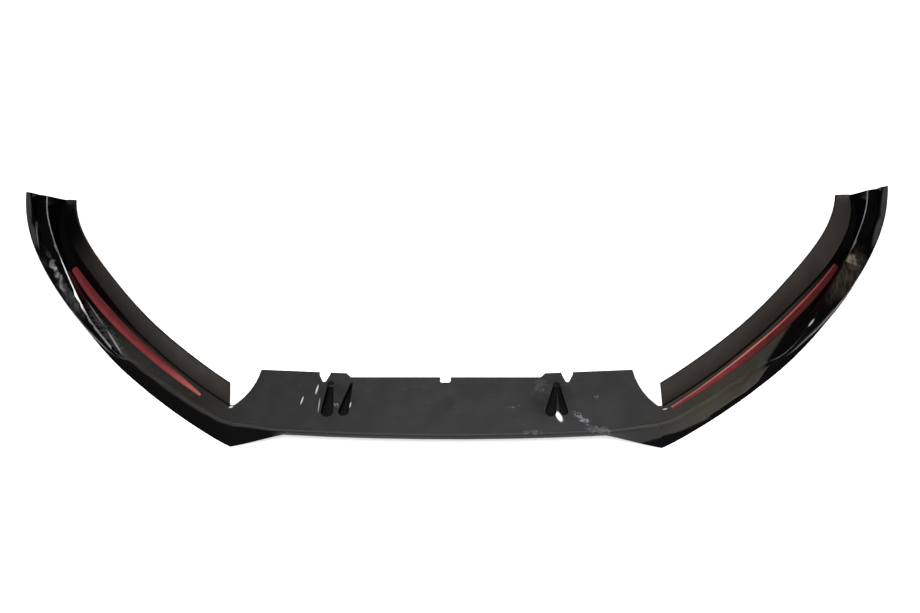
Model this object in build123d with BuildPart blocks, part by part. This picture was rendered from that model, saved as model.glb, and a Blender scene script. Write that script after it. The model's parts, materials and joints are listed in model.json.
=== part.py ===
from build123d import *
import os
from collections import namedtuple
from math import asin, atan2, cos, degrees, radians, sin, tan

# Front splitter lip: a thin moulded shell with a flat deck, a rolled front edge, swept wings
# whose edge grows into a fin, a leaning wall along the rear of each wing, and a red trim strip
# on each wing. X runs across the car, +Y runs rearward and +Z is up. The origin lies on the
# ground line, under the middle of the lip's box. Plan places are given from the mid plane and
# behind the chin tips, and places in a wing's section outward from the outer path.

os.makedirs("parts", exist_ok=True)

# Plan of the lip
lip_depth = 585.0  # chin tips to the rearmost corners of the wings
chin_half = 404.0  # mid plane to a chin tip
wing_half = 875.0  # mid plane to the outer path where its bend ends
tail_run = 40.0  # straight end of the outer path, behind the bend
chin_heading = 29.0  # heading of the outer path at the chin tip, in degrees
wing_heading = 89.0  # heading of the outer path at the wing end, in degrees
chin_pull = 207.0  # reach of the bend from the chin tip
wing_pull = 200.0  # reach of the bend from the wing end

# Moulded sheet
sheet = 4.0
deck_top = 42.0  # the deck's upper face above the ground line
rim_step = 0.6  # the rolled edge lies this far under the deck's face
rim_flange = 9.0  # width of the rolled edge that runs into the deck
rim_margin = 1.0  # the deck's face ends this far before the roll
fold_ease = 1.6  # a fold's corner is cut back by this on both sides
fold_share = 0.3  # but by no more than this share of a side

# Centre plate
plate_half = 300.0  # mid plane to where the chin starts
plate_setback = 10.0  # that end of the front edge behind the chin tips
front_bow = 9.0  # forward bow of the front edge
front_run = 1.0  # lean of the turned-down front edge
front_drop = 10.0  # height of the turned-down front edge
front_radius = 6.0
plate_depth = 130.0  # chin tips to the middle of the rear edge
corner_inset = 49.0  # rear corners of the plate, inside the chin tips
corner_rise = 17.0  # rear corners behind the middle of the rear edge
corner_radius = 4.0
side_belly = 9.0  # hollow of the plate's curved sides
side_root_radius = 9.0  # round root between a side and the wing wall

# Trimmed rear edge
centre_notch_width = 20.0
centre_notch_depth = 12.0
centre_notch_radius = 4.0
screw_half = 231.0  # mid plane to a screw notch
screw_notch_mouth = 21.0
screw_notch_root = 8.0  # diameter of a screw notch's round root
screw_notch_depth = 20.0
tab_width = 40.0  # raised tab on the inner side of a screw notch
tab_rise = 9.0

# Pockets in the deck in front of the screw notches: how far the front and rear ends lie
# inside the screw notch, then the widths of those round ends
Pocket = namedtuple("Pocket", "front rear width tip")
left_outer_pocket = Pocket(11.0, 13.0, 24.0, 11.0)
left_inner_pocket = Pocket(42.0, 53.0, 20.0, 5.0)
right_outer_pocket = Pocket(8.0, 18.0, 16.0, 6.0)
right_inner_pocket = Pocket(32.0, 22.0, 21.0, 7.0)
pocket_front = 55.0  # front ends behind the chin tips
pocket_margin = 23.0  # rear ends before the rear edge
pocket_depth = 14.0
pocket_wall = 3.0

# Chin, between the plate's end and the chin tip
ChinRow = namedtuple("ChinRow", "way setback heading foot run radius")
chin_rows = (
    ChinRow(0.33, 7.0, 3.0, 22.0, 8.0, 8.5),
    ChinRow(0.67, 3.5, 6.0, 11.0, 18.0, 10.5),
    ChinRow(1.00, 0.0, 17.0, 3.0, 26.0, 12.0),
)

# Rolled edge of the wing: share of the outer path, and lean of the front face
blade_radius = 12.0
blade_rows = ((0.04, 19.5), (0.10, 16.0), (0.20, 15.5), (0.30, 15.0), (0.355, 12.5))

# Fin: share of the path, crease at its foot, then crest, gutter, lip and edge as pairs of
# distance outward and rise above the deck, then the lower edge and its height
FinRow = namedtuple("FinRow", "share crease crest gutter lip edge foot")
fin_rows = (
    FinRow(0.40, -18.5, (-6.5, 3.5), (-3.0, 2.5), (-0.3, -0.5), (1.2, -5.0), (0.0, 0.0)),
    FinRow(0.46, -26.5, (-8.0, 13.5), (-4.0, 14.0), (-0.5, 12.0), (2.5, 8.0), (-1.0, 0.0)),
    FinRow(0.53, -32.5, (-12.0, 20.0), (-7.0, 19.5), (-1.0, 16.5), (4.0, 11.0), (-3.0, 0.0)),
    FinRow(0.60, -38.0, (-20.0, 26.0), (-12.0, 25.5), (-3.0, 22.0), (4.0, 15.0), (-5.0, 0.0)),
    FinRow(0.67, -40.5, (-28.0, 31.0), (-17.0, 31.5), (-5.5, 30.0), (4.5, 24.0), (-5.0, 0.0)),
    FinRow(0.735, -41.0, (-33.5, 36.0), (-22.0, 39.0), (-9.5, 41.0), (5.0, 38.0), (-5.0, 0.0)),
    FinRow(0.79, -42.0, (-36.0, 41.0), (-15.0, 40.0), (-11.0, 52.0), (4.5, 54.0), (-5.0, 3.0)),
    FinRow(0.86, -43.5, (-37.0, 44.0), (-15.0, 43.0), (-11.5, 64.0), (3.0, 66.0), (-5.0, 10.0)),
    FinRow(0.94, -45.0, (-35.0, 46.5), (-14.5, 45.5), (-12.0, 74.0), (0.5, 76.0), (-5.0, 24.0)),
    FinRow(1.00, -46.0, (-32.0, 48.0), (-14.0, 47.0), (-12.0, 80.0), (1.5, 82.0), (-5.0, 32.0)),
    FinRow(1.10, -47.0, (-29.0, 50.0), (-13.0, 49.0), (-11.0, 88.0), (2.0, 90.0), (-5.0, 44.0)),
)

# Wing wall: share of the path, foot, riser above the deck, then the top's place and height
WallRow = namedtuple("WallRow", "share foot riser top height")
wall_rows = (
    WallRow(-0.05, -53.0, 4.0, -72.5, 46.0),
    WallRow(0.10, -56.0, 5.0, -78.0, 48.0),
    WallRow(0.25, -59.5, 6.0, -81.5, 50.0),
    WallRow(0.40, -63.5, 8.0, -85.5, 51.5),
    WallRow(0.55, -66.0, 10.0, -92.0, 53.5),
    WallRow(0.70, -61.5, 11.0, -93.0, 56.0),
    WallRow(0.82, -58.5, 12.0, -92.5, 59.5),
    WallRow(0.92, -57.5, 12.0, -96.0, 62.0),
    WallRow(1.10, -57.0, 12.0, -98.0, 65.0),
)
riser_lean = 1.5  # the riser at the wall's foot leans in by this
wall_root = 2.0  # the wall runs this far into the deck
wall_lap = 0.7  # the deck ends this far before the wall's back
wall_start = 0.041  # share of the path at the notch beside the wall's front end
wall_setback = 6.0  # the front end stands this far behind that notch
wall_rake = 6.0  # slope of the wall's front end, in degrees

# Wheel arch end of the wing
tail_lift = 38.0  # height of the rearmost corner
end_sweep = 0.2  # the end runs back toward the outside
end_rake = 0.68  # and forward toward the top

# Red trim strips: share of the path, outer side inside the path, width and height
StripRow = namedtuple("StripRow", "share inset width height")
strip_rows = (
    StripRow(0.17, 41.5, 9.5, 5.5),
    StripRow(0.25, 41.5, 12.5, 6.5),
    StripRow(0.40, 41.5, 16.0, 7.5),
    StripRow(0.52, 41.5, 18.0, 8.0),
    StripRow(0.63, 42.0, 17.0, 8.0),
    StripRow(0.735, 42.5, 12.5, 7.0),
)
right_tip = StripRow(0.065, 42.0, 5.5, 3.0)
left_tip = StripRow(0.135, 41.5, 5.0, 2.5)
strip_seat = 1.0  # depth of a strip's seat in the deck
strip_edge = 0.3  # height of a strip's outer side, as a share of its ridge
strip_shoulder = 0.6  # height of its inner side
strip_ridge = 0.65  # place of the ridge across the width

nose = -lip_depth / 2
rim_level = deck_top - rim_step
front_bend = (plate_half**2 + front_bow**2) / (2 * front_bow)
front_angle = degrees(asin(plate_half / front_bend))
roll_steps = 4
edge_stations = 22  # sections in the loft of a wing's edge
wall_stations = 12
strip_stations = 10


def way(heading):
    """The plan direction of a heading, in degrees from straight across."""
    return Vector(1, 0).rotate(Axis.Z, heading)


def section_plane(point, along):
    """An upright plane across a direction, with local X outward and local Y up."""
    return Plane(point, x_dir=(along.Y, -along.X, 0), z_dir=-along)


with BuildLine() as outer_path:
    chin_tip = Vector(chin_half, nose)
    bend_end = Vector(wing_half, nose + lip_depth - tail_run)
    chin_arm = chin_tip + way(chin_heading) * chin_pull
    wing_arm = bend_end - way(wing_heading) * wing_pull
    bend = Bezier(chin_tip, chin_arm, wing_arm, bend_end)


def wing_plane(share):
    """The section plane at a share of the bend. Outside 0 to 1 the path runs straight on."""
    place = min(max(share, 0), 1)
    along = bend.tangent_at(place * bend.length, position_mode=PositionMode.LENGTH)
    point = bend.position_at(place * bend.length, position_mode=PositionMode.LENGTH)
    return section_plane(point + along * (share - place) * bend.length, along)


def points_at(rows, share):
    """A wing section's points at a share of the path, on straight lines between the rows."""
    before, after = [pair for pair in zip(rows, rows[1:]) if pair[0][0] <= share][-1]
    part = (share - before[0]) / (after[0] - before[0])
    pairs = zip(before[1], after[1])
    return [Vector(*start) + (Vector(*end) - Vector(*start)) * part for start, end in pairs]


def even_sections(rows, count, first):
    """Evenly spaced wing sections from a first share on, each as its plane and its points."""
    last = rows[-1][0]
    shares = [first + (last - first) * step / (count - 1) for step in range(count)]
    return [(wing_plane(share), points_at(rows, share)) for share in shares]


def rolled_edge(run, foot, radius):
    """The outer face of a turned-down edge that leans out by run, from deck to foot."""
    face = atan2(rim_level - foot, run)
    start = -run - radius * tan(face / 2)
    turns = [face * step / roll_steps for step in range(roll_steps + 1)]
    roll = [(start + radius * sin(turn), rim_level - radius * (1 - cos(turn))) for turn in turns]
    return [(start - rim_flange, rim_level), *roll, (0, foot)]


def fin_edge(row):
    """The outer face of a fin section, from deck to lower edge."""
    folds = (row.crest, row.gutter, row.lip, row.edge)
    raised = [(outward, deck_top + rise) for outward, rise in folds]
    return [(row.crease - rim_flange, rim_level), (row.crease, rim_level), *raised, row.foot]


def skin(outer):
    """Close an outer face into a section one sheet thick, with a flat foot and eased outer folds."""
    points = [Vector(point) for point in outer]
    sides = [Vector(b.Y - a.Y, a.X - b.X).normalized() for a, b in zip(points, points[1:])]
    inner = [points[0] + sides[0] * sheet]
    for point, before, after in zip(points[1:], sides, sides[1:]):
        inner.append(point + (before + after) * (sheet / (1 + before.dot(after))))
    inner.append(points[-1] + Vector(sheet / sides[-1].X, 0))
    eased = points[:2]
    for before, point, after in zip(points[1:], points[2:], points[3:]):
        for arm in (before - point, after - point):
            eased.append(point + arm.normalized() * min(fold_ease, arm.length * fold_share))
    return [*eased, points[-1], *inner[::-1]]


def wall_face(row):
    """The outer face of the wing wall, from its top down into the deck."""
    top = (row.top, deck_top + row.height)
    riser = (row.foot - riser_lean, deck_top + row.riser)
    return [top, riser, (row.foot, deck_top - wall_root)]


def strip_outline(row):
    """A strip's section: low outer side, ridge nearer the inner side, flat back in the deck."""
    seat = deck_top - strip_seat
    outer = (-row.inset, deck_top + row.height * strip_edge)
    ridge = (-row.inset - row.width * strip_ridge, deck_top + row.height)
    inner = (-row.inset - row.width, deck_top + row.height * strip_shoulder)
    return [(outer[0], seat), outer, ridge, inner, (inner[0], seat)]


# Sections of the front edge: the plate's end, the chin, then the wing
front_edge = rolled_edge(front_run, deck_top - front_drop, front_radius)
plate_end = Vector(plate_half, nose + plate_setback)
edge_rows = [(share, rolled_edge(run, 0, blade_radius)) for share, run in blade_rows]
edge_rows += [(row.share, fin_edge(row)) for row in fin_rows]
wing_sections = even_sections(edge_rows, edge_stations, edge_rows[0][0])
chin_sections = [(section_plane(plate_end, way(front_angle)), front_edge)]
for row in chin_rows:
    chin_point = Vector(plate_half + (chin_half - plate_half) * row.way, nose + row.setback)
    chin_face = rolled_edge(row.run, row.foot, row.radius)
    chin_sections.append((section_plane(chin_point, way(row.heading)), chin_face))
wing_sections.insert(0, chin_sections[-1])
deck_rim = [
    plane.from_local_coords((Vector(face[1]).X - rim_margin, 0))
    for plane, face in chin_sections + wing_sections[1:]
]

# Plan of the right half of the deck
wall_faces = [(row.share, wall_face(row)) for row in wall_rows]
wall_foot = even_sections(wall_faces, wall_stations, wall_start)
wall_line = [plane.from_local_coords((face[-1].X - sheet + wall_lap, 0)) for plane, face in wall_foot]
notch_root = wall_line[0]
rear_y = nose + plate_depth
edge_y = rear_y + tab_rise
corner = Vector(chin_half - corner_inset, rear_y + corner_rise)
side_chord = (notch_root - corner).normalized()
side_middle = (corner + notch_root) / 2 + side_chord.rotate(Axis.Z, -90) * side_belly
front_y = nose + plate_setback - front_bow
front_middle = Vector(0, front_y - front_edge[1][0] + rim_margin)
tab_end = screw_half - screw_notch_mouth / 2
tab_start = tab_end - tab_width

strips = []
for name, tip, side in (("right_red_strip", right_tip, 1), ("left_red_strip", left_tip, -1)):
    with BuildPart() as strip:
        rows = [(row.share, strip_outline(row)) for row in (tip, *strip_rows)]
        for plane, outline in even_sections(rows, strip_stations, tip.share):
            with BuildSketch(plane):
                with BuildLine():
                    Polyline(*outline, close=True)
                make_face()
        loft()
        if side < 0:
            mirror(about=Plane.YZ, mode=Mode.REPLACE)
    strip.part.label = name
    export_step(strip.part, f"parts/{name}.step")
    strips.append(strip.part)

with BuildPart() as wing_wall:
    for plane, face in even_sections(wall_faces, wall_stations, wall_faces[0][0]):
        with BuildSketch(plane):
            with BuildLine():
                Polyline(*skin(face), close=True)
            make_face()
    loft()
    wall_way = -wing_plane(wall_start).z_dir
    front_foot = notch_root + wall_way * wall_setback + (0, 0, deck_top)
    front_end = Plane(front_foot, z_dir=wall_way - (0, 0, tan(radians(wall_rake))))
    split(bisect_by=front_end, keep=Keep.TOP)

with BuildPart() as body:
    with BuildSketch(Plane.XY.offset(deck_top - sheet)):
        with BuildLine():
            Polyline((0, rear_y), (tab_start, rear_y), (tab_start + tab_rise, edge_y), corner)
            ThreePointArc(corner, side_middle, notch_root)
            Spline(*wall_line)
            Line(wall_line[-1], deck_rim[-1])
            Spline(*deck_rim[::-1])
            Spline(deck_rim[0], front_middle, tangents=[-way(front_angle), (-1, 0)])
            Line(front_middle, (0, rear_y))
        make_face()
        fillet(vertices().sort_by_distance(corner)[0], corner_radius)
        fillet(vertices().sort_by_distance(notch_root)[0], side_root_radius)
        with BuildSketch(mode=Mode.SUBTRACT):
            with Locations((screw_half, edge_y)):
                Circle(screw_notch_mouth / 2)
            with Locations((screw_half, edge_y - screw_notch_depth + screw_notch_root / 2)):
                Circle(screw_notch_root / 2)
            make_hull()
        with Locations((0, rear_y)):
            RectangleRounded(
                centre_notch_width, 2 * centre_notch_depth, centre_notch_radius, mode=Mode.SUBTRACT)
    extrude(amount=sheet)
    with BuildSketch(section_plane(Vector(0, front_y), way(0))):
        with BuildLine():
            Polyline(*skin(front_edge), close=True)
        make_face()
    revolve(axis=Axis((0, front_y + front_bend, 0), (0, 0, 1)), revolution_arc=front_angle)
    for sections in (chin_sections, wing_sections):
        for plane, face in sections:
            with BuildSketch(plane):
                with BuildLine():
                    Polyline(*skin(face), close=True)
                make_face()
        loft()
    add(wing_wall.part)
    tail_corner = Vector(wing_half + fin_rows[-1].foot[0], nose + lip_depth, tail_lift)
    wheel_end = Plane(tail_corner, z_dir=(end_sweep, -1, -end_rake))
    split(bisect_by=wheel_end, keep=Keep.TOP)
    mirror(about=Plane.YZ)
    right_pockets = [(1, pocket) for pocket in (right_outer_pocket, right_inner_pocket)]
    left_pockets = [(-1, pocket) for pocket in (left_outer_pocket, left_inner_pocket)]
    for mode, rim, floor in ((Mode.ADD, pocket_wall, pocket_wall), (Mode.SUBTRACT, 0, 0)):
        for side, pocket in right_pockets + left_pockets:
            with BuildSketch(Plane.XY.offset(deck_top)):
                with Locations((side * (screw_half - pocket.front), nose + pocket_front)):
                    Circle(pocket.width / 2 + rim)
                with Locations((side * (screw_half - pocket.rear), edge_y - pocket_margin)):
                    Circle(pocket.tip / 2 + rim)
                make_hull()
            extrude(amount=-pocket_depth - floor, mode=mode)
    add(strips, mode=Mode.SUBTRACT)

body.part.label = "splitter_body"
export_step(body.part, "parts/splitter_body.step")
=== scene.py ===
import json
import math

import bpy
from bpy.props import FloatProperty, FloatVectorProperty, PointerProperty
from mathutils import Matrix, Vector
from mathutils.geometry import interpolate_bezier
from mathutils.kdtree import KDTree

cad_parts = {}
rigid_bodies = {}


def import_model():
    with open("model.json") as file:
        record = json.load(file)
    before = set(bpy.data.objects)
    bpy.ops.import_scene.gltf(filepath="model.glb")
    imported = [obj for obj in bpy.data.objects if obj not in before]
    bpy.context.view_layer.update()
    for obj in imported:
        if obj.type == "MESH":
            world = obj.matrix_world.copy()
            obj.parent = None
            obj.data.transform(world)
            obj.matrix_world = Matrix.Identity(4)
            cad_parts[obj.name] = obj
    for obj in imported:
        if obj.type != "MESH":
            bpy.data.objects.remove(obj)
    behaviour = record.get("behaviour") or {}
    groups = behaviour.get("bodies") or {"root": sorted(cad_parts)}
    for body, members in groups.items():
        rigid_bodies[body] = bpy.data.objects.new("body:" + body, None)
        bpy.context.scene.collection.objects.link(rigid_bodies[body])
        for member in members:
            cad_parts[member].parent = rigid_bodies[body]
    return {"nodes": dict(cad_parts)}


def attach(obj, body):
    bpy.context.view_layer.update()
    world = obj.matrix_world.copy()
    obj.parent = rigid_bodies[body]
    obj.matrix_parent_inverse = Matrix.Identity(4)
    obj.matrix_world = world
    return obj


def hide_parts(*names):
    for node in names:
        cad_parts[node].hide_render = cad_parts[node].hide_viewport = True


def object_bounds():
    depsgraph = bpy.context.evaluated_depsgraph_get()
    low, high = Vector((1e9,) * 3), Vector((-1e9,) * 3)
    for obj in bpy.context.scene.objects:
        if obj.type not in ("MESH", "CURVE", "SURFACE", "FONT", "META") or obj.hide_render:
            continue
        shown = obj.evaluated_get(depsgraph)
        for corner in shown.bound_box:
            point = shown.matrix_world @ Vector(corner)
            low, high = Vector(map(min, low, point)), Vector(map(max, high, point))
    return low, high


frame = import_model()
cad_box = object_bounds()

bl_info = {
    "name": "Front Splitter Lip",
    "version": (1, 0, 0),
    "blender": (4, 5, 0),
    "location": "3D View > Sidebar > Splitter",
    "description": "Dresses the moulded splitter lip and its red trim strips",
    "category": "Object",
}

# Plan of the right wing's outer edge: a bend from the chin tip to the wing end, and a straight tail
CHIN_TIP = Vector((0.404, -0.2925, 0.0))
CHIN_WAY = math.radians(29)
CHIN_REACH = 0.207
WING_END = Vector((0.875, 0.2525, 0.0))
WING_WAY = math.radians(89)
WING_REACH = 0.200
BEND_STEPS = 240
TAIL_RUN = 0.040
TAIL_STEPS = 12

# Levels and distances that tell the faces of the moulding apart
DECK_LEVEL = 0.042
ABOVE_DECK = 0.0006  # fins and walls rise more than this above the deck
DECK_ROLL = 0.006  # the upper part of the deck's rolled edge lies within this below it
POCKET_FLOOR = 0.0265  # the pockets' floors lie a little higher
PLATE_FRONT = -0.27  # the plate's edges lie just outside these
PLATE_REAR = -0.175
FIN_BAND = 0.052  # the fin lies within this distance of the outer edge
RISER = 0.010  # height of the upright foot of the wing wall
WALL_TOP = 0.030  # the wall's upper edge lies more than this above the deck

# How far a face's normal points up or outward
DECK_UP = 0.55
EDGE_UP = 0.75
RISER_OUT = 0.5
FRONT_OUT = 0.2

# Folds of the fin painted with a bright highlight line: share of the outer edge, distance outward, rise above
# the deck
CREST_LINE = (
    (0.43, -0.0073, 0.0085), (0.46, -0.0080, 0.0135), (0.53, -0.0120, 0.0200), (0.60, -0.0200, 0.0260),
    (0.67, -0.0280, 0.0310), (0.735, -0.0335, 0.0360), (0.79, -0.0360, 0.0410), (0.86, -0.0370, 0.0440),
    (0.94, -0.0350, 0.0465), (1.00, -0.0320, 0.0480), (1.10, -0.0290, 0.0500),
)
FOLD_REACH = 0.0026
HIGHLIT_FOLD_FROM = 0.76  # the right fin's fold gets its painted highlight behind this share only

# Where the front edge turns down: share of the outer edge, distance outward
RIM_LINE = (
    (0.00, -0.0220), (0.04, -0.0200), (0.10, -0.0168), (0.20, -0.0158), (0.30, -0.0150), (0.36, -0.0135),
    (0.42, -0.0100), (1.10, -0.0100),
)

# Where finishes change along the lip: distances from its middle, the right half positive
HALVES = (-0.1, 0.1)
RIGHT_SIDE = (0.20, 0.42)
PLATE_SHADE = (-0.32, 0.05)
PLATE_ENDS = (0.30, 0.50)
CHIN_START = (0.290, 0.335)
WING_START = (0.41, 0.45)
WALL_SIDE = (0.2, 0.4)
FIN_SIDE = (0.4, 0.5)
RIM_FADE = (0.48, 0.56)  # the right wing's painted highlight along the front edge turns fainter here

# Where finishes change rearward
WALL_LIGHTENS = (-0.15, 0.16)  # the right wall grows lighter rearward
WALL_FOOT = (-0.17, 0.10)  # the painted shade at the foot of the left wall climbs
WALL_FOOT_CLIMB = 0.022
WALL_BLACK = (0.05, 0.17)  # the left wall's rear is painted black as shade
WHITE_FOLD = ((-0.035, 0.0), (0.105, 0.08))  # start and end of the whitest stretch of the left fold's painted highlight
DIM_FOLD = (0.08, 0.14)  # the right fold's painted highlight turns from black to dim
DUSTY_FIN = ((-0.02, 0.02), (0.16, 0.13))  # start and end of the right fin's dusty stretch
INWARD_DULL = (0.06, 0.13)  # inward faces turn dull
TAIL_DULL = (0.23, 0.27)  # the wing ends turn dull

# The left front face is painted near black as shade up to here; the right one below two lines: slope, height
# at the middle
LEFT_DARK_FRONT = (0.28, 0.20)
CHIN_INNER = (0.21, -0.064)
CHIN_OUTER = (-0.15, 0.082)
FRONT_TOP = (DECK_LEVEL + 0.0004, DECK_LEVEL - 0.0008)

# The fold in the right wing's front face, below which its shade is painted: where it starts, where it climbs
# and between which heights
FOLD_START = (0.485, 0.505)
FOLD_CLIMB = (0.590, 0.625)
FOLD_HEIGHTS = (0.0135, 0.0440)

# The painted highlight along a crease above that fold: where it starts, and the rise at which it sets in and
# fades
CREASE_START = (0.50, 0.54)
CREASE_FOOT = (0.0004, 0.0012)
CREASE_TOP = (0.0036, 0.0016)

# Where the polish sets in: rearward, later on the right, past a leaning line there, and above the deck
POLISH_START = (-0.12, 0.02)
POLISH_DELAY = 0.10
FIN_LEAN = 0.644
FIN_FOOT = (0.685, 0.694)
FIN_RISE = (DECK_LEVEL + 0.0004, DECK_LEVEL + 0.0018)

# Slope and place at which the skin counts as over the front edge, and as close to it
OVER_RIM = ((0.86, 0.66), (-0.0015, 0.0015))
NEAR_RIM = ((0.999, 0.93), (-0.012, -0.003))

# Scuffs on the deck, and one painted highlight between the left pockets: place, height, half length, half
# width, turn in degrees, strength
DECK_MARKS = (
    (0.2555, -0.2525, 0.042, 0.0240, 0.0052, -45.0, 0.40),
    (0.2880, -0.2765, 0.042, 0.0300, 0.0100, -13.0, 0.16),
    (0.1660, -0.2810, 0.042, 0.0260, 0.0040, 0.0, 0.14),
    (0.1270, -0.2290, 0.042, 0.0160, 0.0012, 0.0, 0.30),
    (0.2855, -0.2040, 0.042, 0.0060, 0.0016, 95.0, 0.26),
    (0.1790, -0.1820, 0.042, 0.0200, 0.0120, 60.0, 0.07),
    # a painted highlight between the left pockets
    (-0.2035, -0.2240, 0.042, 0.0060, 0.0015, 85.0, 0.60),
    (-0.6750, -0.0570, 0.042, 0.1000, 0.0110, -49.0, 0.10),
)

# A pale chip by the right pocket, painted glints and highlights by the pockets, the notches and on the fins,
# and painted sheen along the outer lips, in the same terms
CHIP_AND_HIGHLIGHTS = (
    (0.2139, -0.2481, 0.042, 0.0150, 0.0062, -65.4, 1.0),
    (0.2070, -0.2110, 0.042, 0.0090, 0.0020, -75.0, 0.50),
    (-0.2695, -0.2143, 0.042, 0.0115, 0.0018, 78.0, 0.50),
    (-0.2432, -0.1900, 0.042, 0.0135, 0.0022, 80.0, 0.55),
    (-0.2363, -0.2240, 0.042, 0.0200, 0.0015, 88.0, 0.28),
    (-0.1772, -0.2240, 0.042, 0.0080, 0.0018, 80.0, 0.45),
    (-0.4030, -0.2288, 0.042, 0.0050, 0.0024, 20.0, 0.70),
    (0.4102, -0.2317, 0.042, 0.0060, 0.0018, 15.0, 0.45),
    (-0.6530, -0.0820, 0.044, 0.0440, 0.0022, -54.8, 0.26),
    (-0.8380, 0.1450, 0.100, 0.0480, 0.0016, -74.6, 0.10),
    (-0.8625, 0.2000, 0.112, 0.0700, 0.0060, -78.0, 0.035),
    (-0.8435, 0.1400, 0.100, 0.0400, 0.0060, -69.4, 0.035),
    (0.8625, 0.2000, 0.112, 0.0700, 0.0070, 78.0, 0.035),
    (0.8435, 0.1400, 0.100, 0.0500, 0.0070, 69.4, 0.035),
    (-0.7026, -0.0153, 0.044, 0.0450, 0.0020, -52.0, 0.18),
    (0.6980, -0.0510, 0.055, 0.0130, 0.0024, 52.0, 0.40),
)

# Streaky painted reflections on the fins, pale on the left and light brown on the right, in the same terms
PAINTED_REFLECTIONS = (
    (-0.7960, 0.0760, 0.081, 0.0200, 0.0080, -61.0, 0.62),
    (-0.7800, 0.0460, 0.078, 0.0440, 0.0065, -60.4, 0.34),
    (-0.7550, 0.0120, 0.070, 0.0800, 0.0120, -54.0, 0.08),
    (0.7850, 0.0880, 0.076, 0.0340, 0.0120, -50.0, 0.80),
    (0.7750, 0.0550, 0.072, 0.0900, 0.0360, 54.0, 0.16),
)

# Darker patches around the pockets, in the same terms
POCKET_DARKENING = (
    (0.200, -0.205, 0.042, 0.060, 0.050, 80.0, 0.50),
    (-0.207, -0.212, 0.042, 0.050, 0.050, 0.0, 0.35),
)
MARK_DEPTH = 0.03  # the marks reach this far above and below their height
MARK_FADE = 0.55  # outer share of a mark over which it fades

# The right strip's painted highlight along its ridge: its foot, where that climbs rearward and by how much,
# and where it dims
STRIP_INWARD = (-0.78, 0.62, 0.0)  # way from the right strip toward the wall
RIDGE_FOOT = (0.0432, 0.0438)
RIDGE_NARROWS = (-0.20, -0.02)
RIDGE_CLIMB = 0.0051
RIDGE_DIMS = (0.09, -0.10)
SIDE_DARKENS = (-0.20, -0.06)  # painted shade on the side away from the wall, deeper rearward

# The left strip's painted shade along its ridge by height, and the painted highlight on its front end
LEFT_RIDGE = (0.0462, 0.0492)
LEFT_FRONT = (-0.13, -0.20)

GRAIN_HEIGHT = 0.0003
STRIP_GRAIN_HEIGHT = 0.0002
SEAM_WIDTH = 0.00002  # corners closer than this are one
BODY_SMOOTH = math.radians(26)
STRIP_SMOOTH = math.radians(30)
STRIP_FOLD = math.radians(14)  # sharper edges of the strips are rounded
FLOOR_GAP = 0.0003


class SplitterFinish(bpy.types.PropertyGroup):
    """Colours and surface of the moulding and the strips."""

    deck: FloatVectorProperty(
        name="Deck", description="Satin plastic of the centre plate", subtype="COLOR",
        default=(0.0240, 0.0244, 0.0262), min=0.0, max=1.0)
    # Right wing: olive tone of the right wing
    right_wing: FloatVectorProperty(
        name="Right wing", description="Dusty olive bloom on the right wing", subtype="COLOR",
        default=(0.0250, 0.0222, 0.0156), min=0.0, max=1.0)
    left_wing: FloatVectorProperty(
        name="Left wing", description="Darker plastic of the left wing", subtype="COLOR",
        default=(0.0110, 0.0101, 0.0083), min=0.0, max=1.0)
    wall: FloatVectorProperty(
        name="Wall", description="Dull plastic of the wing walls", subtype="COLOR",
        default=(0.0256, 0.0214, 0.0178), min=0.0, max=1.0)
    gloss: FloatVectorProperty(
        name="Gloss", description="Polished black of the fins and the front faces", subtype="COLOR",
        default=(0.0014, 0.0013, 0.0014), min=0.0, max=1.0)
    # Crest: colour of the painted highlight along the fins' folds
    crest: FloatVectorProperty(
        name="Crest", description="Worn folds of the fins", subtype="COLOR",
        default=(0.200, 0.200, 0.205), min=0.0, max=1.0)
    # Glints: colour of the painted glints and highlights, and of a pale chip
    chip_and_highlight: FloatVectorProperty(
        name="Glints", description="Brightest chips and folds", subtype="COLOR",
        default=(0.80, 0.80, 0.82), min=0.0, max=1.0)
    # Tan: painted reflection on the right fin and painted highlight along the crease of its front face
    tan: FloatVectorProperty(
        name="Tan", description="Dusty haze on the right fin and crease of its front face", subtype="COLOR",
        default=(0.160, 0.135, 0.105), min=0.0, max=1.0)
    # Scuffs: rubbed places on the deck, and the painted reflection on the left fin
    scuff_and_sheen: FloatVectorProperty(
        name="Scuffs", description="Rubbed places on the deck and haze on the left fin", subtype="COLOR",
        default=(0.42, 0.44, 0.48), min=0.0, max=1.0)
    red: FloatVectorProperty(
        name="Red", description="Trim strips", subtype="COLOR",
        default=(0.168, 0.027, 0.029), min=0.0, max=1.0)
    # Pale red: painted highlight on the right strip's ridge and the left strip's front end
    red_highlight: FloatVectorProperty(
        name="Pale red", description="Bleached ridge of the right strip and front end of the left one",
        subtype="COLOR", default=(0.46, 0.135, 0.125), min=0.0, max=1.0)
    grain: FloatProperty(
        name="Grain", description="Size of the moulded grain", default=0.0011, min=0.0002, max=0.01,
        subtype="DISTANCE", unit="LENGTH")
    strip_round: FloatProperty(
        name="Strip rounding", description="Rounding of the strips' edges", default=0.0012, min=0.0001,
        max=0.004, subtype="DISTANCE", unit="LENGTH")


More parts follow.
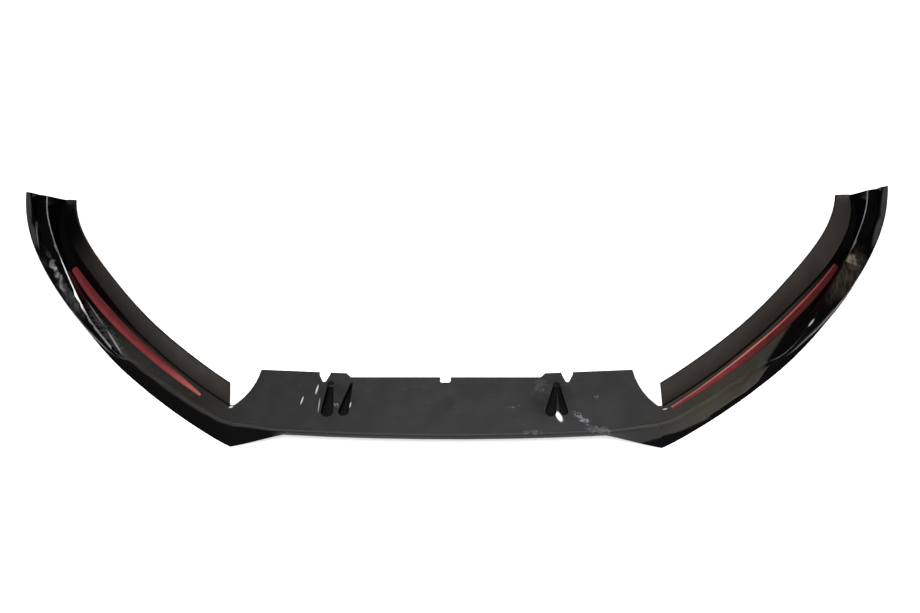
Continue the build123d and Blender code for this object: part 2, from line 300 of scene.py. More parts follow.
class SplitterStage(bpy.types.PropertyGroup):
    """Floor, light and camera."""

    floor: FloatVectorProperty(
        name="Floor", description="Colour of the pale floor", subtype="COLOR",
        default=(0.92, 0.92, 0.92), min=0.0, max=1.0)
    floor_size: FloatProperty(
        name="Floor size", description="Side of the floor", default=40.0, min=4.0, max=80.0,
        subtype="DISTANCE", unit="LENGTH")
    floor_glow: FloatProperty(
        name="Floor glow", description="Evens out the floor far from the lip", default=0.6, min=0.0, max=2.0)
    sky: FloatVectorProperty(
        name="Surround", description="Colour of the room around the lip", subtype="COLOR",
        default=(0.93, 0.93, 0.93), min=0.0, max=1.0)
    key_power: FloatProperty(
        name="Key light", description="Power of the large soft light above", default=120.0, min=0.0,
        max=2000.0, unit="POWER")
    back_power: FloatProperty(
        name="Back light", description="Power of the low light behind, which only makes highlights",
        default=45.0, min=0.0, max=2000.0, unit="POWER")
    lens: FloatProperty(
        name="Lens", description="Focal length", default=50.56, min=10.0, max=200.0, unit="CAMERA")
    camera_place: FloatVectorProperty(
        name="Camera", description="Place of the camera", subtype="TRANSLATION", unit="LENGTH",
        default=(0.1504, -1.4537, 2.1297))
    camera_elevation: FloatProperty(
        name="Elevation", description="How far the camera looks down", subtype="ANGLE", unit="ROTATION",
        default=0.96044)
    camera_azimuth: FloatProperty(
        name="Azimuth", description="Turn of the camera about the upright axis", subtype="ANGLE",
        unit="ROTATION", default=0.087057)
    camera_roll: FloatProperty(
        name="Roll", description="Turn of the picture", subtype="ANGLE", unit="ROTATION", default=0.073805)


def deselect():
    """Leave nothing selected, so that an operator acts on one piece only."""
    bpy.ops.object.select_all(action="DESELECT")


def add_node(tree, kind, settings=None, **sockets):
    """Add a shader node, with its settings and its unlinked sockets set."""
    node = tree.nodes.new(kind)
    for name, value in (settings or {}).items():
        setattr(node, name, value)
    for name, value in sockets.items():
        node.inputs[name.replace("_", " ")].default_value = value
    return node


def feed(tree, socket, value):
    """Link a value to a socket, or set the socket where the value is fixed."""
    if isinstance(value, bpy.types.NodeSocket):
        tree.links.new(value, socket)
    else:
        socket.default_value = value


def rgba(colour):
    """A colour with full cover."""
    return (*colour, 1.0)


def scaled(colour, share):
    """A colour made lighter or darker."""
    return [channel * share for channel in colour]


def new_finish(name):
    """A node material with its shader and its object coordinates."""
    material = bpy.data.materials.new(name)
    material.use_nodes = True
    tree = material.node_tree
    shader = tree.nodes["Principled BSDF"]
    place = add_node(tree, "ShaderNodeTexCoord").outputs["Object"]
    return material, tree, shader, place


def surface(tree, shader, base, rough, shine):
    """Give a shader its colour, its roughness and the strength of its reflections."""
    feed(tree, shader.inputs["Base Color"], base)
    feed(tree, shader.inputs["Roughness"], rough)
    feed(tree, shader.inputs["Specular IOR Level"], shine)


def noise(tree, place, scale, detail=3.0, stretch=None):
    """A noise pattern on the object coordinates, stretched where asked."""
    if stretch is not None:
        mapping = add_node(tree, "ShaderNodeMapping", Scale=stretch)
        tree.links.new(place, mapping.inputs["Vector"])
        place = mapping.outputs["Vector"]
    pattern = add_node(tree, "ShaderNodeTexNoise", Scale=scale, Detail=detail)
    tree.links.new(place, pattern.inputs["Vector"])
    return pattern.outputs["Fac"]


def mapped(tree, value, low, high, to_low=0.0, to_high=1.0):
    """A value taken from one range to another, smoothly and clamped."""
    node = add_node(tree, "ShaderNodeMapRange", {"interpolation_type": "SMOOTHSTEP"})
    for socket, number in zip(("From Min", "From Max", "To Min", "To Max"), (low, high, to_low, to_high)):
        node.inputs[socket].default_value = number
    tree.links.new(value, node.inputs["Value"])
    return node.outputs["Result"]


def uneven(tree, place, scale, detail, low, high):
    """A value that wanders between two limits."""
    return mapped(tree, noise(tree, place, scale, detail), 0.3, 0.7, low, high)


def outside(tree, mask):
    """The reverse of a mask."""
    return mapped(tree, mask, 1.0, 0.0)


def blended(tree, share, first, second):
    """A colour between two others, each given as a colour or as a socket."""
    node = add_node(tree, "ShaderNodeMix", {"data_type": "RGBA"})
    tree.links.new(share, node.inputs["Factor"])
    for name, colour in zip(("A", "B"), (first, second)):
        socket = next(entry for entry in node.inputs if entry.name == name and entry.type == "RGBA")
        feed(tree, socket, colour if isinstance(colour, bpy.types.NodeSocket) else rgba(colour))
    return next(entry for entry in node.outputs if entry.type == "RGBA")


def combined(tree, operation, first, *others):
    """Values joined one after the other by a sum, a product or the like; all but the first may be numbers."""
    for other in others:
        node = add_node(tree, "ShaderNodeMath", {"operation": operation})
        tree.links.new(first, node.inputs[0])
        feed(tree, node.inputs[1], other)
        first = node.outputs["Value"]
    return first


def size_of(tree, value):
    """A value without its sign."""
    return combined(tree, "ABSOLUTE", value, 0.0)


def within(tree, value, start, end):
    """A mask that sets in over one range and fades over another."""
    return combined(tree, "MULTIPLY", mapped(tree, value, *start), mapped(tree, value, *end))


def grain_bump(tree, shader, place, grain, strength, height=GRAIN_HEIGHT):
    """Moulded grain as bump."""
    bump = add_node(tree, "ShaderNodeBump", Strength=strength, Distance=height)
    tree.links.new(noise(tree, place, 1.0 / grain, 2.0), bump.inputs["Height"])
    tree.links.new(bump.outputs["Normal"], shader.inputs["Normal"])


def warped(tree, place, scale, amount):
    """Places shifted by a noise pattern, which makes outlines irregular."""
    pattern = add_node(tree, "ShaderNodeTexNoise", Scale=scale, Detail=5.0)
    tree.links.new(place, pattern.inputs["Vector"])
    centred = add_node(tree, "ShaderNodeVectorMath", {"operation": "SUBTRACT"})
    tree.links.new(pattern.outputs["Color"], centred.inputs[0])
    centred.inputs[1].default_value = (0.5, 0.5, 0.5)
    shifted = add_node(tree, "ShaderNodeVectorMath", {"operation": "MULTIPLY_ADD"})
    tree.links.new(centred.outputs["Vector"], shifted.inputs[0])
    shifted.inputs[1].default_value = (amount, amount, amount)
    tree.links.new(place, shifted.inputs[2])
    return shifted.outputs["Vector"]


def mark_mask(tree, place, marks):
    """Soft ovals on the skin, each strongest in its middle."""
    ovals = []
    for x, y, z, length, width, turn, strength in marks:
        mapping = add_node(tree, "ShaderNodeMapping", {"vector_type": "TEXTURE"}, Location=(x, y, z),
                           Rotation=(0.0, 0.0, math.radians(turn)), Scale=(length, width, MARK_DEPTH))
        tree.links.new(place, mapping.inputs["Vector"])
        oval = add_node(tree, "ShaderNodeTexGradient", {"gradient_type": "SPHERICAL"})
        tree.links.new(mapping.outputs["Vector"], oval.inputs["Vector"])
        ovals.append(mapped(tree, oval.outputs["Fac"], 0.0, MARK_FADE, 0.0, strength))
    return combined(tree, "MAXIMUM", *ovals)


def normal_of(tree):
    """Which way the surface faces, in the object's own frame."""
    return add_node(tree, "ShaderNodeTexCoord").outputs["Normal"]


def axes_of(tree, place):
    """The three coordinates of a place, each as a value."""
    split = add_node(tree, "ShaderNodeSeparateXYZ")
    tree.links.new(place, split.inputs["Vector"])
    return split.outputs["X"], split.outputs["Y"], split.outputs["Z"]


def rolled(tree, place, slopes, places):
    """How far the skin has rolled over the front edge: by slope on the chins, by place on the wings."""
    upright = axes_of(tree, normal_of(tree))[2]
    past = add_node(tree, "ShaderNodeAttribute", {"attribute_name": "past_rim"}).outputs["Fac"]
    on_wing = mapped(tree, size_of(tree, axes_of(tree, place)[0]), *WING_START)
    mix = add_node(tree, "ShaderNodeMix", {"data_type": "FLOAT"})
    tree.links.new(on_wing, mix.inputs["Factor"])
    tree.links.new(mapped(tree, upright, *slopes), mix.inputs["A"])
    tree.links.new(mapped(tree, past, *places), mix.inputs["B"])
    return mix.outputs["Result"]


def plain_skin(look, tree, place):
    """Colour of the skin before the polish: satin plate, dark left wing and olive right wing, with a painted
    highlight along the front edge, the plate's front face painted lighter and darker patches around the
    pockets.
    """
    along = axes_of(tree, place)[0]
    upright = axes_of(tree, normal_of(tree))[2]
    right = mapped(tree, along, *RIGHT_SIDE)
    wing = blended(tree, right, look.left_wing, look.right_wing)
    # painted highlight along the rolled front edge, fainter far out on the right wing
    rim_highlight = blended(tree, right, scaled(look.left_wing, 2.2), scaled(look.right_wing, 1.8))
    rim_highlight = blended(tree, mapped(tree, along, *RIM_FADE), rim_highlight, scaled(look.right_wing, 1.15))
    wing = blended(tree, rolled(tree, place, *NEAR_RIM), wing, rim_highlight)
    plate = blended(tree, mapped(tree, along, *PLATE_SHADE), scaled(look.deck, 0.72), look.deck)
    # painted light: the plate's front face is painted lighter, standing in for light it does not get
    plate = blended(tree, mapped(tree, upright, 0.70, 0.30), plate, scaled(look.deck, 1.7))
    base = blended(tree, mapped(tree, size_of(tree, along), *PLATE_ENDS), plate, wing)
    cloud = mapped(tree, noise(tree, place, 7.0, 5.0), 0.38, 0.66, 0.0, 0.4)
    base = blended(tree, cloud, base, scaled(look.deck, 0.72))
    darkening = mapped(tree, noise(tree, place, 40.0, 5.0), 0.3, 0.65, 0.3, 1.0)
    darkening = combined(tree, "MULTIPLY", darkening, mark_mask(tree, place, POCKET_DARKENING))
    return blended(tree, darkening, base, look.gloss)


def above_line(tree, place, slope, level):
    """How far a place lies above a line that slopes along the lip."""
    along, _, height = axes_of(tree, place)
    return combined(tree, "SUBTRACT", height, combined(tree, "MULTIPLY", along, slope), level)


def above_fold(tree, place):
    """How far a place lies above the fold that runs up the right wing's front face, below which the fold's
    shade is painted.
    """
    along, _, height = axes_of(tree, place)
    return combined(tree, "SUBTRACT", height, mapped(tree, along, *FOLD_CLIMB, *FOLD_HEIGHTS))


def front_mask(tree, place):
    """Where the front faces are painted near black as shade: all of the left one, the right one's foot and
    under its fold.
    """
    along, _, height = axes_of(tree, place)
    below_deck = mapped(tree, height, *FRONT_TOP)
    chin = mapped(tree, size_of(tree, along), *CHIN_START)
    lines = [above_line(tree, place, *line) for line in (CHIN_INNER, CHIN_OUTER)]
    foot = mapped(tree, combined(tree, "MAXIMUM", *lines), -0.002, 0.003, 1.0, 0.0)
    folded = mapped(tree, above_fold(tree, place), 0.0008, -0.0008)
    folded = combined(tree, "MULTIPLY", folded, mapped(tree, along, *FOLD_START))
    dark_front = combined(tree, "MAXIMUM", foot, mapped(tree, along, *LEFT_DARK_FRONT), folded)
    return combined(tree, "MULTIPLY", rolled(tree, place, *OVER_RIM), below_deck, chin, dark_front)


def crease_mask(tree, place):
    """A painted highlight along a crease just above the fold in the right wing's front face."""
    crease = within(tree, above_fold(tree, place), CREASE_FOOT, CREASE_TOP)
    on_right = mapped(tree, axes_of(tree, place)[0], *CREASE_START, 0.0, 0.30)
    return combined(tree, "MULTIPLY", crease, on_right, rolled(tree, place, *OVER_RIM))


def polish_mask(tree, place):
    """Where the skin is polished: the wings' rear, the right fin's foot and what rises above the deck."""
    along, rearward, height = axes_of(tree, place)
    delay = combined(tree, "MULTIPLY", mapped(tree, along, *RIGHT_SIDE), POLISH_DELAY)
    rear = mapped(tree, combined(tree, "SUBTRACT", rearward, delay), *POLISH_START)
    lean = combined(tree, "SUBTRACT", along, combined(tree, "MULTIPLY", rearward, FIN_LEAN))
    return combined(tree, "MAXIMUM", rear, mapped(tree, lean, *FIN_FOOT), mapped(tree, height, *FIN_RISE))


def worn_and_highlit_skin(look, tree, place, base, black):
    """The skin's colour with its painted reflections, rubbed places, scuffs, and painted glints and
    highlights.
    """
    streaks = mapped(tree, noise(tree, place, 60.0, 6.0, (3.2, 0.9, 1.0)), 0.36, 0.66, 0.25, 1.0)
    # painted reflections on the fins, streaky
    reflection = combined(tree, "MULTIPLY", mark_mask(tree, warped(tree, place, 60.0, 0.022), PAINTED_REFLECTIONS), streaks)
    dust_and_sheen = blended(tree, mapped(tree, axes_of(tree, place)[0], *HALVES), look.scuff_and_sheen, look.tan)
    base = blended(tree, reflection, base, dust_and_sheen)
    rubbed = mapped(tree, noise(tree, place, 6.0, 6.0, (14.0, 60.0, 14.0)), 0.64, 0.78, 0.0, 0.06)
    rubbed = combined(tree, "MULTIPLY", rubbed, outside(tree, black))
    patch = mapped(tree, noise(tree, place, 300.0, 8.0), 0.34, 0.64, 0.15, 1.0)
    # scuffs on the deck, and one painted highlight between the left pockets
    scuffs_and_glint = mark_mask(tree, warped(tree, place, 130.0, 0.030), DECK_MARKS)
    scuffs_and_glint = combined(tree, "MULTIPLY", scuffs_and_glint, patch)
    base = blended(tree, combined(tree, "MAXIMUM", rubbed, scuffs_and_glint), base, look.scuff_and_sheen)
    # painted glints and highlights, and a pale chip
    return blended(tree, mark_mask(tree, place, CHIP_AND_HIGHLIGHTS), base, look.chip_and_highlight)


def skin_shine(tree, place, polish, dark_front):
    """How strongly the skin reflects: less where it rolls over, faces inward, is painted dark as shade, ends
    or is dusty.
    """
    along, rearward, _ = axes_of(tree, place)
    sideways, _, upright = axes_of(tree, normal_of(tree))
    dulled = mapped(tree, upright, 0.998, 0.95, 0.0, 0.6)
    dulled = combined(tree, "MULTIPLY", dulled, outside(tree, polish))
    inward = mapped(tree, combined(tree, "MULTIPLY", along, sideways), -0.05, -0.20, 0.0, 0.9)
    inward = combined(tree, "MULTIPLY", inward, mapped(tree, rearward, *INWARD_DULL))
    tail = mapped(tree, rearward, *TAIL_DULL, 0.0, 0.85)
    dusted = mapped(tree, along, *FIN_SIDE, 0.0, 0.85)
    dusted = combined(tree, "MULTIPLY", dusted, within(tree, rearward, *DUSTY_FIN))
    shine = mapped(tree, polish, 0.0, 1.0, 0.26, 0.24)
    for mask in (dulled, inward, dark_front, tail, dusted):
        shine = combined(tree, "MULTIPLY", shine, outside(tree, mask))
    return shine


def skin_finish(look):
    """The outer skin: satin plate, olive right wing, front faces painted near black as shade, and polished
    fins, with painted highlights and reflections.
    """
    material, tree, shader, place = new_finish("moulded_skin")
    polish = polish_mask(tree, place)
    dark_front = front_mask(tree, place)
    black = combined(tree, "MAXIMUM", polish, dark_front)
    # painted highlight along the crease of the right wing's front face
    base = blended(tree, crease_mask(tree, place), plain_skin(look, tree, place), look.tan)
    base = blended(tree, black, base, look.gloss)
    # painted shade: the front faces turn near black where the mask holds
    base = blended(tree, dark_front, base, scaled(look.gloss, 3.2))
    base = worn_and_highlit_skin(look, tree, place, base, black)
    rough = uneven(tree, place, 24.0, 4.0, 0.38, 0.50)
    rough = combined(tree, "SUBTRACT", rough, combined(tree, "MULTIPLY", polish, 0.28))
    surface(tree, shader, base, rough, skin_shine(tree, place, polish, dark_front))
    grain_bump(tree, shader, place, look.grain, 0.16)
    return material


def wall_finish(look):
    """Dull brown-black plastic, lighter rearward on the right wing, with painted shade at the rear and the
    foot of the left one.
    """
    material, tree, shader, place = new_finish("dull_wall")
    along, rearward, height = axes_of(tree, place)
    dust_and_sheen = mapped(tree, noise(tree, place, 16.0, 5.0), 0.35, 0.7, 0.0, 0.5)
    base = blended(tree, dust_and_sheen, look.wall, scaled(look.wall, 0.66))
    lighter_right = combined(tree, "MULTIPLY", mapped(tree, along, *WALL_SIDE), mapped(tree, rearward, *WALL_LIGHTENS))
    base = blended(tree, lighter_right, base, scaled(look.wall, 1.75))
    foot = combined(tree, "SUBTRACT", height, mapped(tree, rearward, *WALL_FOOT, 0.0, WALL_FOOT_CLIMB))
    shade = mapped(tree, foot, DECK_LEVEL + 0.002, DECK_LEVEL - 0.002)
    shade = combined(tree, "MAXIMUM", shade, mapped(tree, rearward, *WALL_BLACK))
    left = mapped(tree, combined(tree, "MULTIPLY", along, -1.0), *WALL_SIDE)
    shade = combined(tree, "MULTIPLY", shade, left)
    base = blended(tree, shade, base, look.gloss)
    shine = mapped(tree, shade, 0.0, 1.0, 0.25, 0.08)
    surface(tree, shader, base, uneven(tree, place, 30.0, 4.0, 0.50, 0.64), shine)
    grain_bump(tree, shader, place, look.grain, 0.2)
    return material


def crest_finish(look):
    """Fold of a fin with a painted highlight, whitest in the middle of the left one."""
    material, tree, shader, place = new_finish("painted_crest_highlight")
    along, rearward, _ = axes_of(tree, place)
    patchiness = mapped(tree, noise(tree, place, 30.0, 4.0), 0.35, 0.65)
    dim = scaled(look.crest, 0.6)
    base = blended(tree, patchiness, look.crest, dim)
    left = blended(tree, within(tree, rearward, *WHITE_FOLD), base, look.chip_and_highlight)
    right = blended(tree, mapped(tree, rearward, *DIM_FOLD), look.gloss, dim)
    base = blended(tree, mapped(tree, along, *HALVES), left, right)
    surface(tree, shader, base, uneven(tree, place, 60.0, 3.0, 0.20, 0.32), 0.3)
    return material


def hollow_finish(look):
    """Inside of the pockets, the groove at the wall's foot and the wall's top edge, painted near black as
    shade.
    """
    material, tree, shader, place = new_finish("painted_shade_hollow")
    grime = mapped(tree, noise(tree, place, 55.0, 5.0), 0.45, 0.75, 0.0, 0.4)
    grimy = [channel + 0.006 for channel in look.gloss]
    base = blended(tree, grime, look.gloss, grimy)
    surface(tree, shader, base, uneven(tree, place, 70.0, 3.0, 0.40, 0.60), 0.12)
    grain_bump(tree, shader, place, look.grain, 0.2)
    return material


def underside_finish(look):
    """Bare back of the moulding."""
    material, tree, shader, place = new_finish("bare_underside")
    flow = mapped(tree, noise(tree, place, 9.0, 6.0, (1.0, 3.0, 1.0)), 0.35, 0.7, 0.0, 0.8)
    base = blended(tree, flow, look.deck, look.wall)
    surface(tree, shader, base, uneven(tree, place, 34.0, 4.0, 0.48, 0.66), 0.3)
    grain_bump(tree, shader, place, look.grain, 0.3)
    return material


def right_red(look, tree, place, base):
    """Colours of the right strip: a painted highlight on the ridge that narrows rearward, between sides
    painted dark as shade.
    """
    _, rearward, height = axes_of(tree, place)
    inward = add_node(tree, "ShaderNodeVectorMath", {"operation": "DOT_PRODUCT"})
    tree.links.new(normal_of(tree), inward.inputs[0])
    inward.inputs[1].default_value = STRIP_INWARD
    facing = inward.outputs["Value"]
    dark = scaled(look.red, 0.34)
    shaded = combined(tree, "MULTIPLY", mapped(tree, facing, 0.02, -0.30),
                      mapped(tree, rearward, *SIDE_DARKENS, 0.3, 1.0))
    base = blended(tree, shaded, base, dark)
    facet = mapped(tree, facing, 0.08, 0.36)
    lift = combined(tree, "SUBTRACT", height, mapped(tree, rearward, *RIDGE_NARROWS, 0.0, RIDGE_CLIMB))
    ridge = mapped(tree, lift, *RIDGE_FOOT)
    base = blended(tree, combined(tree, "MULTIPLY", facet, outside(tree, ridge)), base, dark)
    pale = combined(tree, "MULTIPLY", facet, ridge, mapped(tree, rearward, *RIDGE_DIMS, 0.4, 1.0))
    return blended(tree, pale, base, look.red_highlight)


def left_red(look, tree, place, base):
    """Colours of the left strip: painted shade along the ridge and a painted highlight in front."""
    _, rearward, height = axes_of(tree, place)
    base = blended(tree, mapped(tree, height, *LEFT_RIDGE, 0.0, 0.7), base, scaled(look.red, 0.4))
    return blended(tree, mapped(tree, rearward, *LEFT_FRONT, 0.0, 0.4), base, look.red_highlight)


def strip_finish(look, side):
    """Glossy red, with painted highlights and painted shade on each strip."""
    material, tree, shader, place = new_finish(f"{side}_red")
    depth = mapped(tree, noise(tree, place, 26.0, 5.0), 0.35, 0.7, 0.0, 0.5)
    base = blended(tree, depth, look.red, scaled(look.red, 0.7))
    paint = {"left": left_red, "right": right_red}[side]
    base = paint(look, tree, place, base)
    surface(tree, shader, base, uneven(tree, place, 60.0, 3.0, 0.22, 0.36), 0.4)
    grain_bump(tree, shader, place, look.grain * 1.5, 0.06, STRIP_GRAIN_HEIGHT)
    return material


def merged_copy(node_name, piece_name):
    """A copy of a CAD node's mesh with its corners joined, left active and selected."""
    deselect()
    node = frame["nodes"][node_name]
    bpy.context.view_layer.objects.active = node
    node.select_set(True)
    bpy.ops.object.duplicate()
    piece = bpy.context.view_layer.objects.active
    piece.name = piece_name
    piece.data.name = piece_name
    for key in list(piece.keys()):
        del piece[key]
    bpy.ops.object.parent_clear(type="CLEAR_KEEP_TRANSFORM")
    bpy.ops.mesh.customdata_custom_splitnormals_clear()
    bpy.ops.object.mode_set(mode="EDIT")
    bpy.ops.mesh.select_all(action="SELECT")
    bpy.ops.mesh.remove_doubles(threshold=SEAM_WIDTH)
    bpy.ops.object.mode_set(mode="OBJECT")
    piece.data.materials.clear()
    return piece


def heading(angle):
    """A level direction, turned from the lip's right."""
    return Vector((math.cos(angle), math.sin(angle), 0.0))


def outer_edge():
    """Points along the right wing's outer edge: place, the way outward and the share of the bend."""
    chin_handle = CHIN_TIP + heading(CHIN_WAY) * CHIN_REACH
    wing_handle = WING_END - heading(WING_WAY) * WING_REACH
    points = interpolate_bezier(CHIN_TIP, chin_handle, wing_handle, WING_END, BEND_STEPS)
    along = (points[-1] - points[-2]).normalized()
    points += [WING_END + along * TAIL_RUN * step / TAIL_STEPS for step in range(1, TAIL_STEPS + 1)]
    ways = [(after - before).normalized() for before, after in zip(points, points[1:])]
    ways.append(along)
    run = [0.0]
    for before, after in zip(points, points[1:]):
        run.append(run[-1] + (after - before).length)
    bend = run[BEND_STEPS - 1]
    return [(point, Vector((way.y, -way.x, 0.0)), length / bend)
            for point, way, length in zip(points, ways, run)]


def rim_place(share):
    """Distance outward at which the front edge turns down."""
    for (first, low), (last, high) in zip(RIM_LINE, RIM_LINE[1:]):
        if share <= last:
            return low + (high - low) * (share - first) / (last - first)
    return RIM_LINE[-1][1]


def mark_rim(mesh, edge, tree):
    """Give each corner of a mesh its distance past the line where the front edge turns down."""
    past = mesh.attributes.new("past_rim", "FLOAT", "POINT")
    for corner, entry in zip(mesh.vertices, past.data):
        place = Vector((abs(corner.co.x), corner.co.y, 0.0))
        point, outward, share = edge[tree.find(place)[1]]
        entry.value = (place - point).dot(outward) - rim_place(share)


def on_crest(share, outward, rise):
    """Whether a place in a fin's section lies on the crest that gets a painted highlight."""
    for first, last in zip(CREST_LINE, CREST_LINE[1:]):
        if first[0] <= share <= last[0]:
            part = (share - first[0]) / (last[0] - first[0])
            place = [a + (b - a) * part for a, b in zip(first, last)]
            return math.hypot(outward - place[1], rise - place[2]) < FOLD_REACH
    return False


def face_finish(centre, normal, edge, tree):
    """Which finish a face of the moulding has, by its place and the way it faces."""
    place = Vector((abs(centre.x), centre.y, 0.0))
    facing = Vector((math.copysign(normal.x, normal.x * centre.x), normal.y, normal.z))
    point, outward, share = edge[tree.find(place)[1]]
    reach = (place - point).dot(outward)
    rise = centre.z - DECK_LEVEL
    on_wing = place.x > CHIN_TIP.x
    if not on_wing:
        outward = Vector((0.0, -1.0, 0.0))
    in_band = on_wing and abs(reach) < FIN_BAND
    if rise > ABOVE_DECK:
        if in_band:
            highlit = (centre.x < 0.0 or share > HIGHLIT_FOLD_FROM) and on_crest(share, reach, rise)
            return "crest" if highlit else "skin"
        riser = facing.dot(outward) > RISER_OUT and rise < RISER
        # the wall's upright foot and its top edge take the painted shade
        return "hollow" if riser or normal.z > EDGE_UP and rise > WALL_TOP else "wall"
    if normal.z > DECK_UP and rise > -DECK_ROLL:
        return "skin"
    if facing.dot(outward) > FRONT_OUT and (in_band or not on_wing and place.y < PLATE_FRONT):
        return "skin"
    if PLATE_FRONT < place.y < PLATE_REAR and centre.z > POCKET_FLOOR and not on_wing:
        return "hollow"
    return "underside"


class SPLITTER_OT_moulding(bpy.types.Operator):
    """Make the moulded body, with a finish for each of its faces"""

    bl_idname = "splitter.moulding"
    bl_label = "Moulding"

    def execute(self, context):
        look = context.scene.splitter_finish
        body = merged_copy("splitter_body", "moulding")
        bpy.ops.object.shade_smooth_by_angle(angle=BODY_SMOOTH)
        makers = {"skin": skin_finish, "crest": crest_finish, "wall": wall_finish, "hollow": hollow_finish,
                  "underside": underside_finish}
        for make in makers.values():
            body.data.materials.append(make(look))
        edge = outer_edge()
        tree = KDTree(len(edge))
        for index, entry in enumerate(edge):
            tree.insert(entry[0], index)
        tree.balance()
        mark_rim(body.data, edge, tree)
        order = list(makers)
        for face in body.data.polygons:
            face.material_index = order.index(face_finish(face.center, face.normal, edge, tree))
        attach(body, "root")
        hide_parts("splitter_body")
        return {"FINISHED"}


class SPLITTER_OT_strips(bpy.types.Operator):
    """Make the two red trim strips"""

    bl_idname = "splitter.strips"
    bl_label = "Red strips"

    def execute(self, context):
        look = context.scene.splitter_finish
        for side in ("left", "right"):
            strip = merged_copy(f"{side}_red_strip", f"{side}_trim")
            rounding = strip.modifiers.new("rounding", "BEVEL")
            rounding.width = look.strip_round
            rounding.segments = 3
            rounding.limit_method = "ANGLE"
            rounding.angle_limit = STRIP_FOLD
            bpy.ops.object.modifier_apply(modifier="rounding")
            bpy.ops.object.shade_smooth_by_angle(angle=STRIP_SMOOTH)
            strip.data.materials.append(strip_finish(look, side))
            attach(strip, "root")
            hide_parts(f"{side}_red_strip")
        return {"FINISHED"}


def add_floor(stage):
    """The pale floor just under the lip; its glow is seen but lights nothing."""
    deselect()
    level = cad_box[0].z - FLOOR_GAP
    bpy.ops.mesh.primitive_plane_add(size=stage.floor_size, location=(0.0, 0.0, level))
    floor = bpy.context.active_object
    floor.name = "floor"
    paint, tree, shader, place = new_finish("pale_floor")
    speck = uneven(tree, place, 3.0, 3.0, 0.0, 1.0)
    surface(tree, shader, blended(tree, speck, stage.floor, scaled(stage.floor, 0.985)), 0.8, 0.1)
    shader.inputs["Emission Color"].default_value = rgba(stage.floor)
    seen = add_node(tree, "ShaderNodeLightPath").outputs["Is Camera Ray"]
    glow = mapped(tree, seen, 0.0, 1.0, 0.0, stage.floor_glow)
    tree.links.new(glow, shader.inputs["Emission Strength"])
    floor.data.materials.append(paint)


def add_room(scene, stage):
    """The bright room around the lip, which is dimmer as light and dimmest in reflections."""
    scene.world = bpy.data.worlds.new("studio")
    scene.world.use_nodes = True
    tree = scene.world.node_tree
    room = tree.nodes["Background"]
    room.inputs["Color"].default_value = rgba(stage.sky)
    ray = add_node(tree, "ShaderNodeLightPath")
    lit = add_node(tree, "ShaderNodeMapRange", To_Min=0.30, To_Max=0.05)
    tree.links.new(ray.outputs["Is Glossy Ray"], lit.inputs["Value"])
    seen = add_node(tree, "ShaderNodeMapRange", To_Max=1.0)
    tree.links.new(ray.outputs["Is Camera Ray"], seen.inputs["Value"])
    tree.links.new(lit.outputs["Result"], seen.inputs["To Min"])
    tree.links.new(seen.outputs["Result"], room.inputs["Strength"])


def area_light(name, place, aim, size, power, colour):
    """A soft rectangular light that faces a point."""
    deselect()
    bpy.ops.object.light_add(type="AREA", location=place)
    lamp = bpy.context.active_object
    lamp.name = name
    lamp.data.shape = "RECTANGLE"
    lamp.data.size, lamp.data.size_y = size
    lamp.data.energy = power
    lamp.data.color = colour
    lamp.rotation_euler = (Vector(aim) - Vector(place)).to_track_quat("-Z", "Y").to_euler()
    return lamp


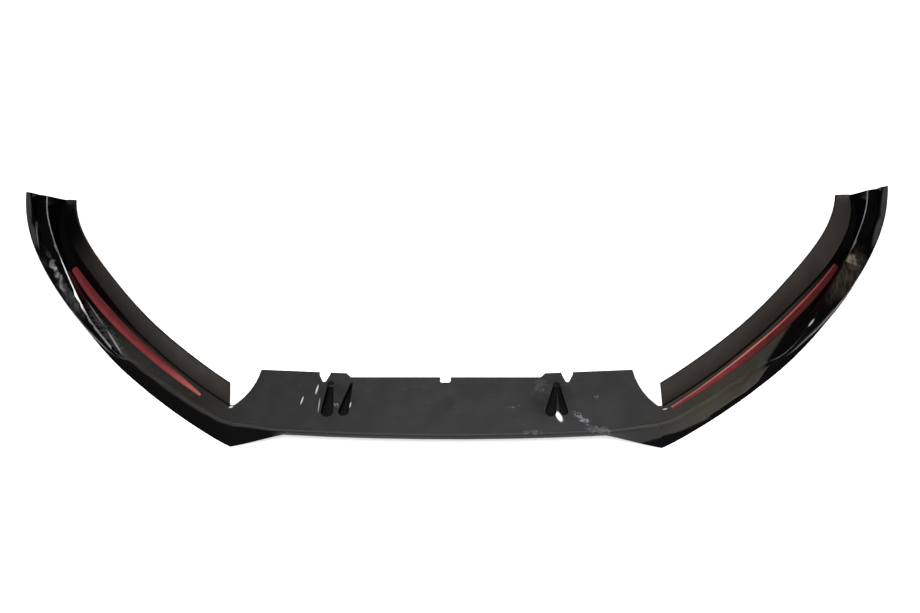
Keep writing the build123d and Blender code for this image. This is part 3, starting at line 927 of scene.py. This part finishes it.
def add_camera(scene, stage):
    """The camera, from its place, elevation, azimuth and roll."""
    deselect()
    bpy.ops.object.camera_add()
    camera = bpy.context.active_object
    camera.name = "camera"
    camera.data.sensor_fit = "HORIZONTAL"
    camera.data.sensor_width = 36.0
    camera.data.lens = stage.lens
    camera.data.clip_end = 50.0
    right = heading(stage.camera_azimuth)
    level = heading(stage.camera_azimuth + math.pi / 2)
    lean_cos, lean_sin = math.cos(stage.camera_elevation), math.sin(stage.camera_elevation)
    ahead = level * lean_cos - Vector((0.0, 0.0, lean_sin))
    up = level * lean_sin + Vector((0.0, 0.0, lean_cos))
    roll_cos, roll_sin = math.cos(stage.camera_roll), math.sin(stage.camera_roll)
    axes = (right * roll_cos - up * roll_sin, right * roll_sin + up * roll_cos, -ahead)
    camera.matrix_world = Matrix.Translation(stage.camera_place) @ Matrix(axes).transposed().to_4x4()
    scene.camera = camera


class SPLITTER_OT_stage(bpy.types.Operator):
    """Set the floor, the light and the camera"""

    bl_idname = "splitter.stage"
    bl_label = "Stage"

    def execute(self, context):
        stage = context.scene.splitter_stage
        add_floor(stage)
        add_room(context.scene, stage)
        area_light("soft_top", place=(0.0, -0.9, 2.7), aim=(0.0, 0.0, 0.0), size=(3.0, 1.6),
                   power=stage.key_power, colour=(1.0, 0.99, 0.97))
        low_back = area_light("low_back", place=(0.0, 3.2, 0.9), aim=(0.0, 0.0, 0.1), size=(5.0, 1.5),
                              power=stage.back_power, colour=(1.0, 1.0, 1.0))
        low_back.visible_diffuse = False
        add_camera(context.scene, stage)
        context.scene.view_settings.view_transform = "Standard"
        return {"FINISHED"}


class SPLITTER_PT_panel(bpy.types.Panel):
    """Lists the pieces of the lip and their finishes"""

    bl_idname = "SPLITTER_PT_panel"
    bl_label = "Front Splitter Lip"
    bl_space_type = "VIEW_3D"
    bl_region_type = "UI"
    bl_category = "Splitter"

    def draw(self, context):
        for operator in (SPLITTER_OT_moulding, SPLITTER_OT_strips, SPLITTER_OT_stage):
            self.layout.operator(operator.bl_idname)
        for group in (context.scene.splitter_finish, context.scene.splitter_stage):
            column = self.layout.column()
            for name in group.__annotations__:
                column.prop(group, name)


CLASSES = (SplitterFinish, SplitterStage, SPLITTER_OT_moulding, SPLITTER_OT_strips, SPLITTER_OT_stage,
           SPLITTER_PT_panel)


def register():
    for cls in CLASSES:
        bpy.utils.register_class(cls)
    bpy.types.Scene.splitter_finish = PointerProperty(type=SplitterFinish)
    bpy.types.Scene.splitter_stage = PointerProperty(type=SplitterStage)


def unregister():
    del bpy.types.Scene.splitter_stage
    del bpy.types.Scene.splitter_finish
    for cls in reversed(CLASSES):
        bpy.utils.unregister_class(cls)


def main():
    register()
    bpy.ops.splitter.moulding()
    bpy.ops.splitter.strips()
    bpy.ops.splitter.stage()


if __name__ == "__main__":
    main()
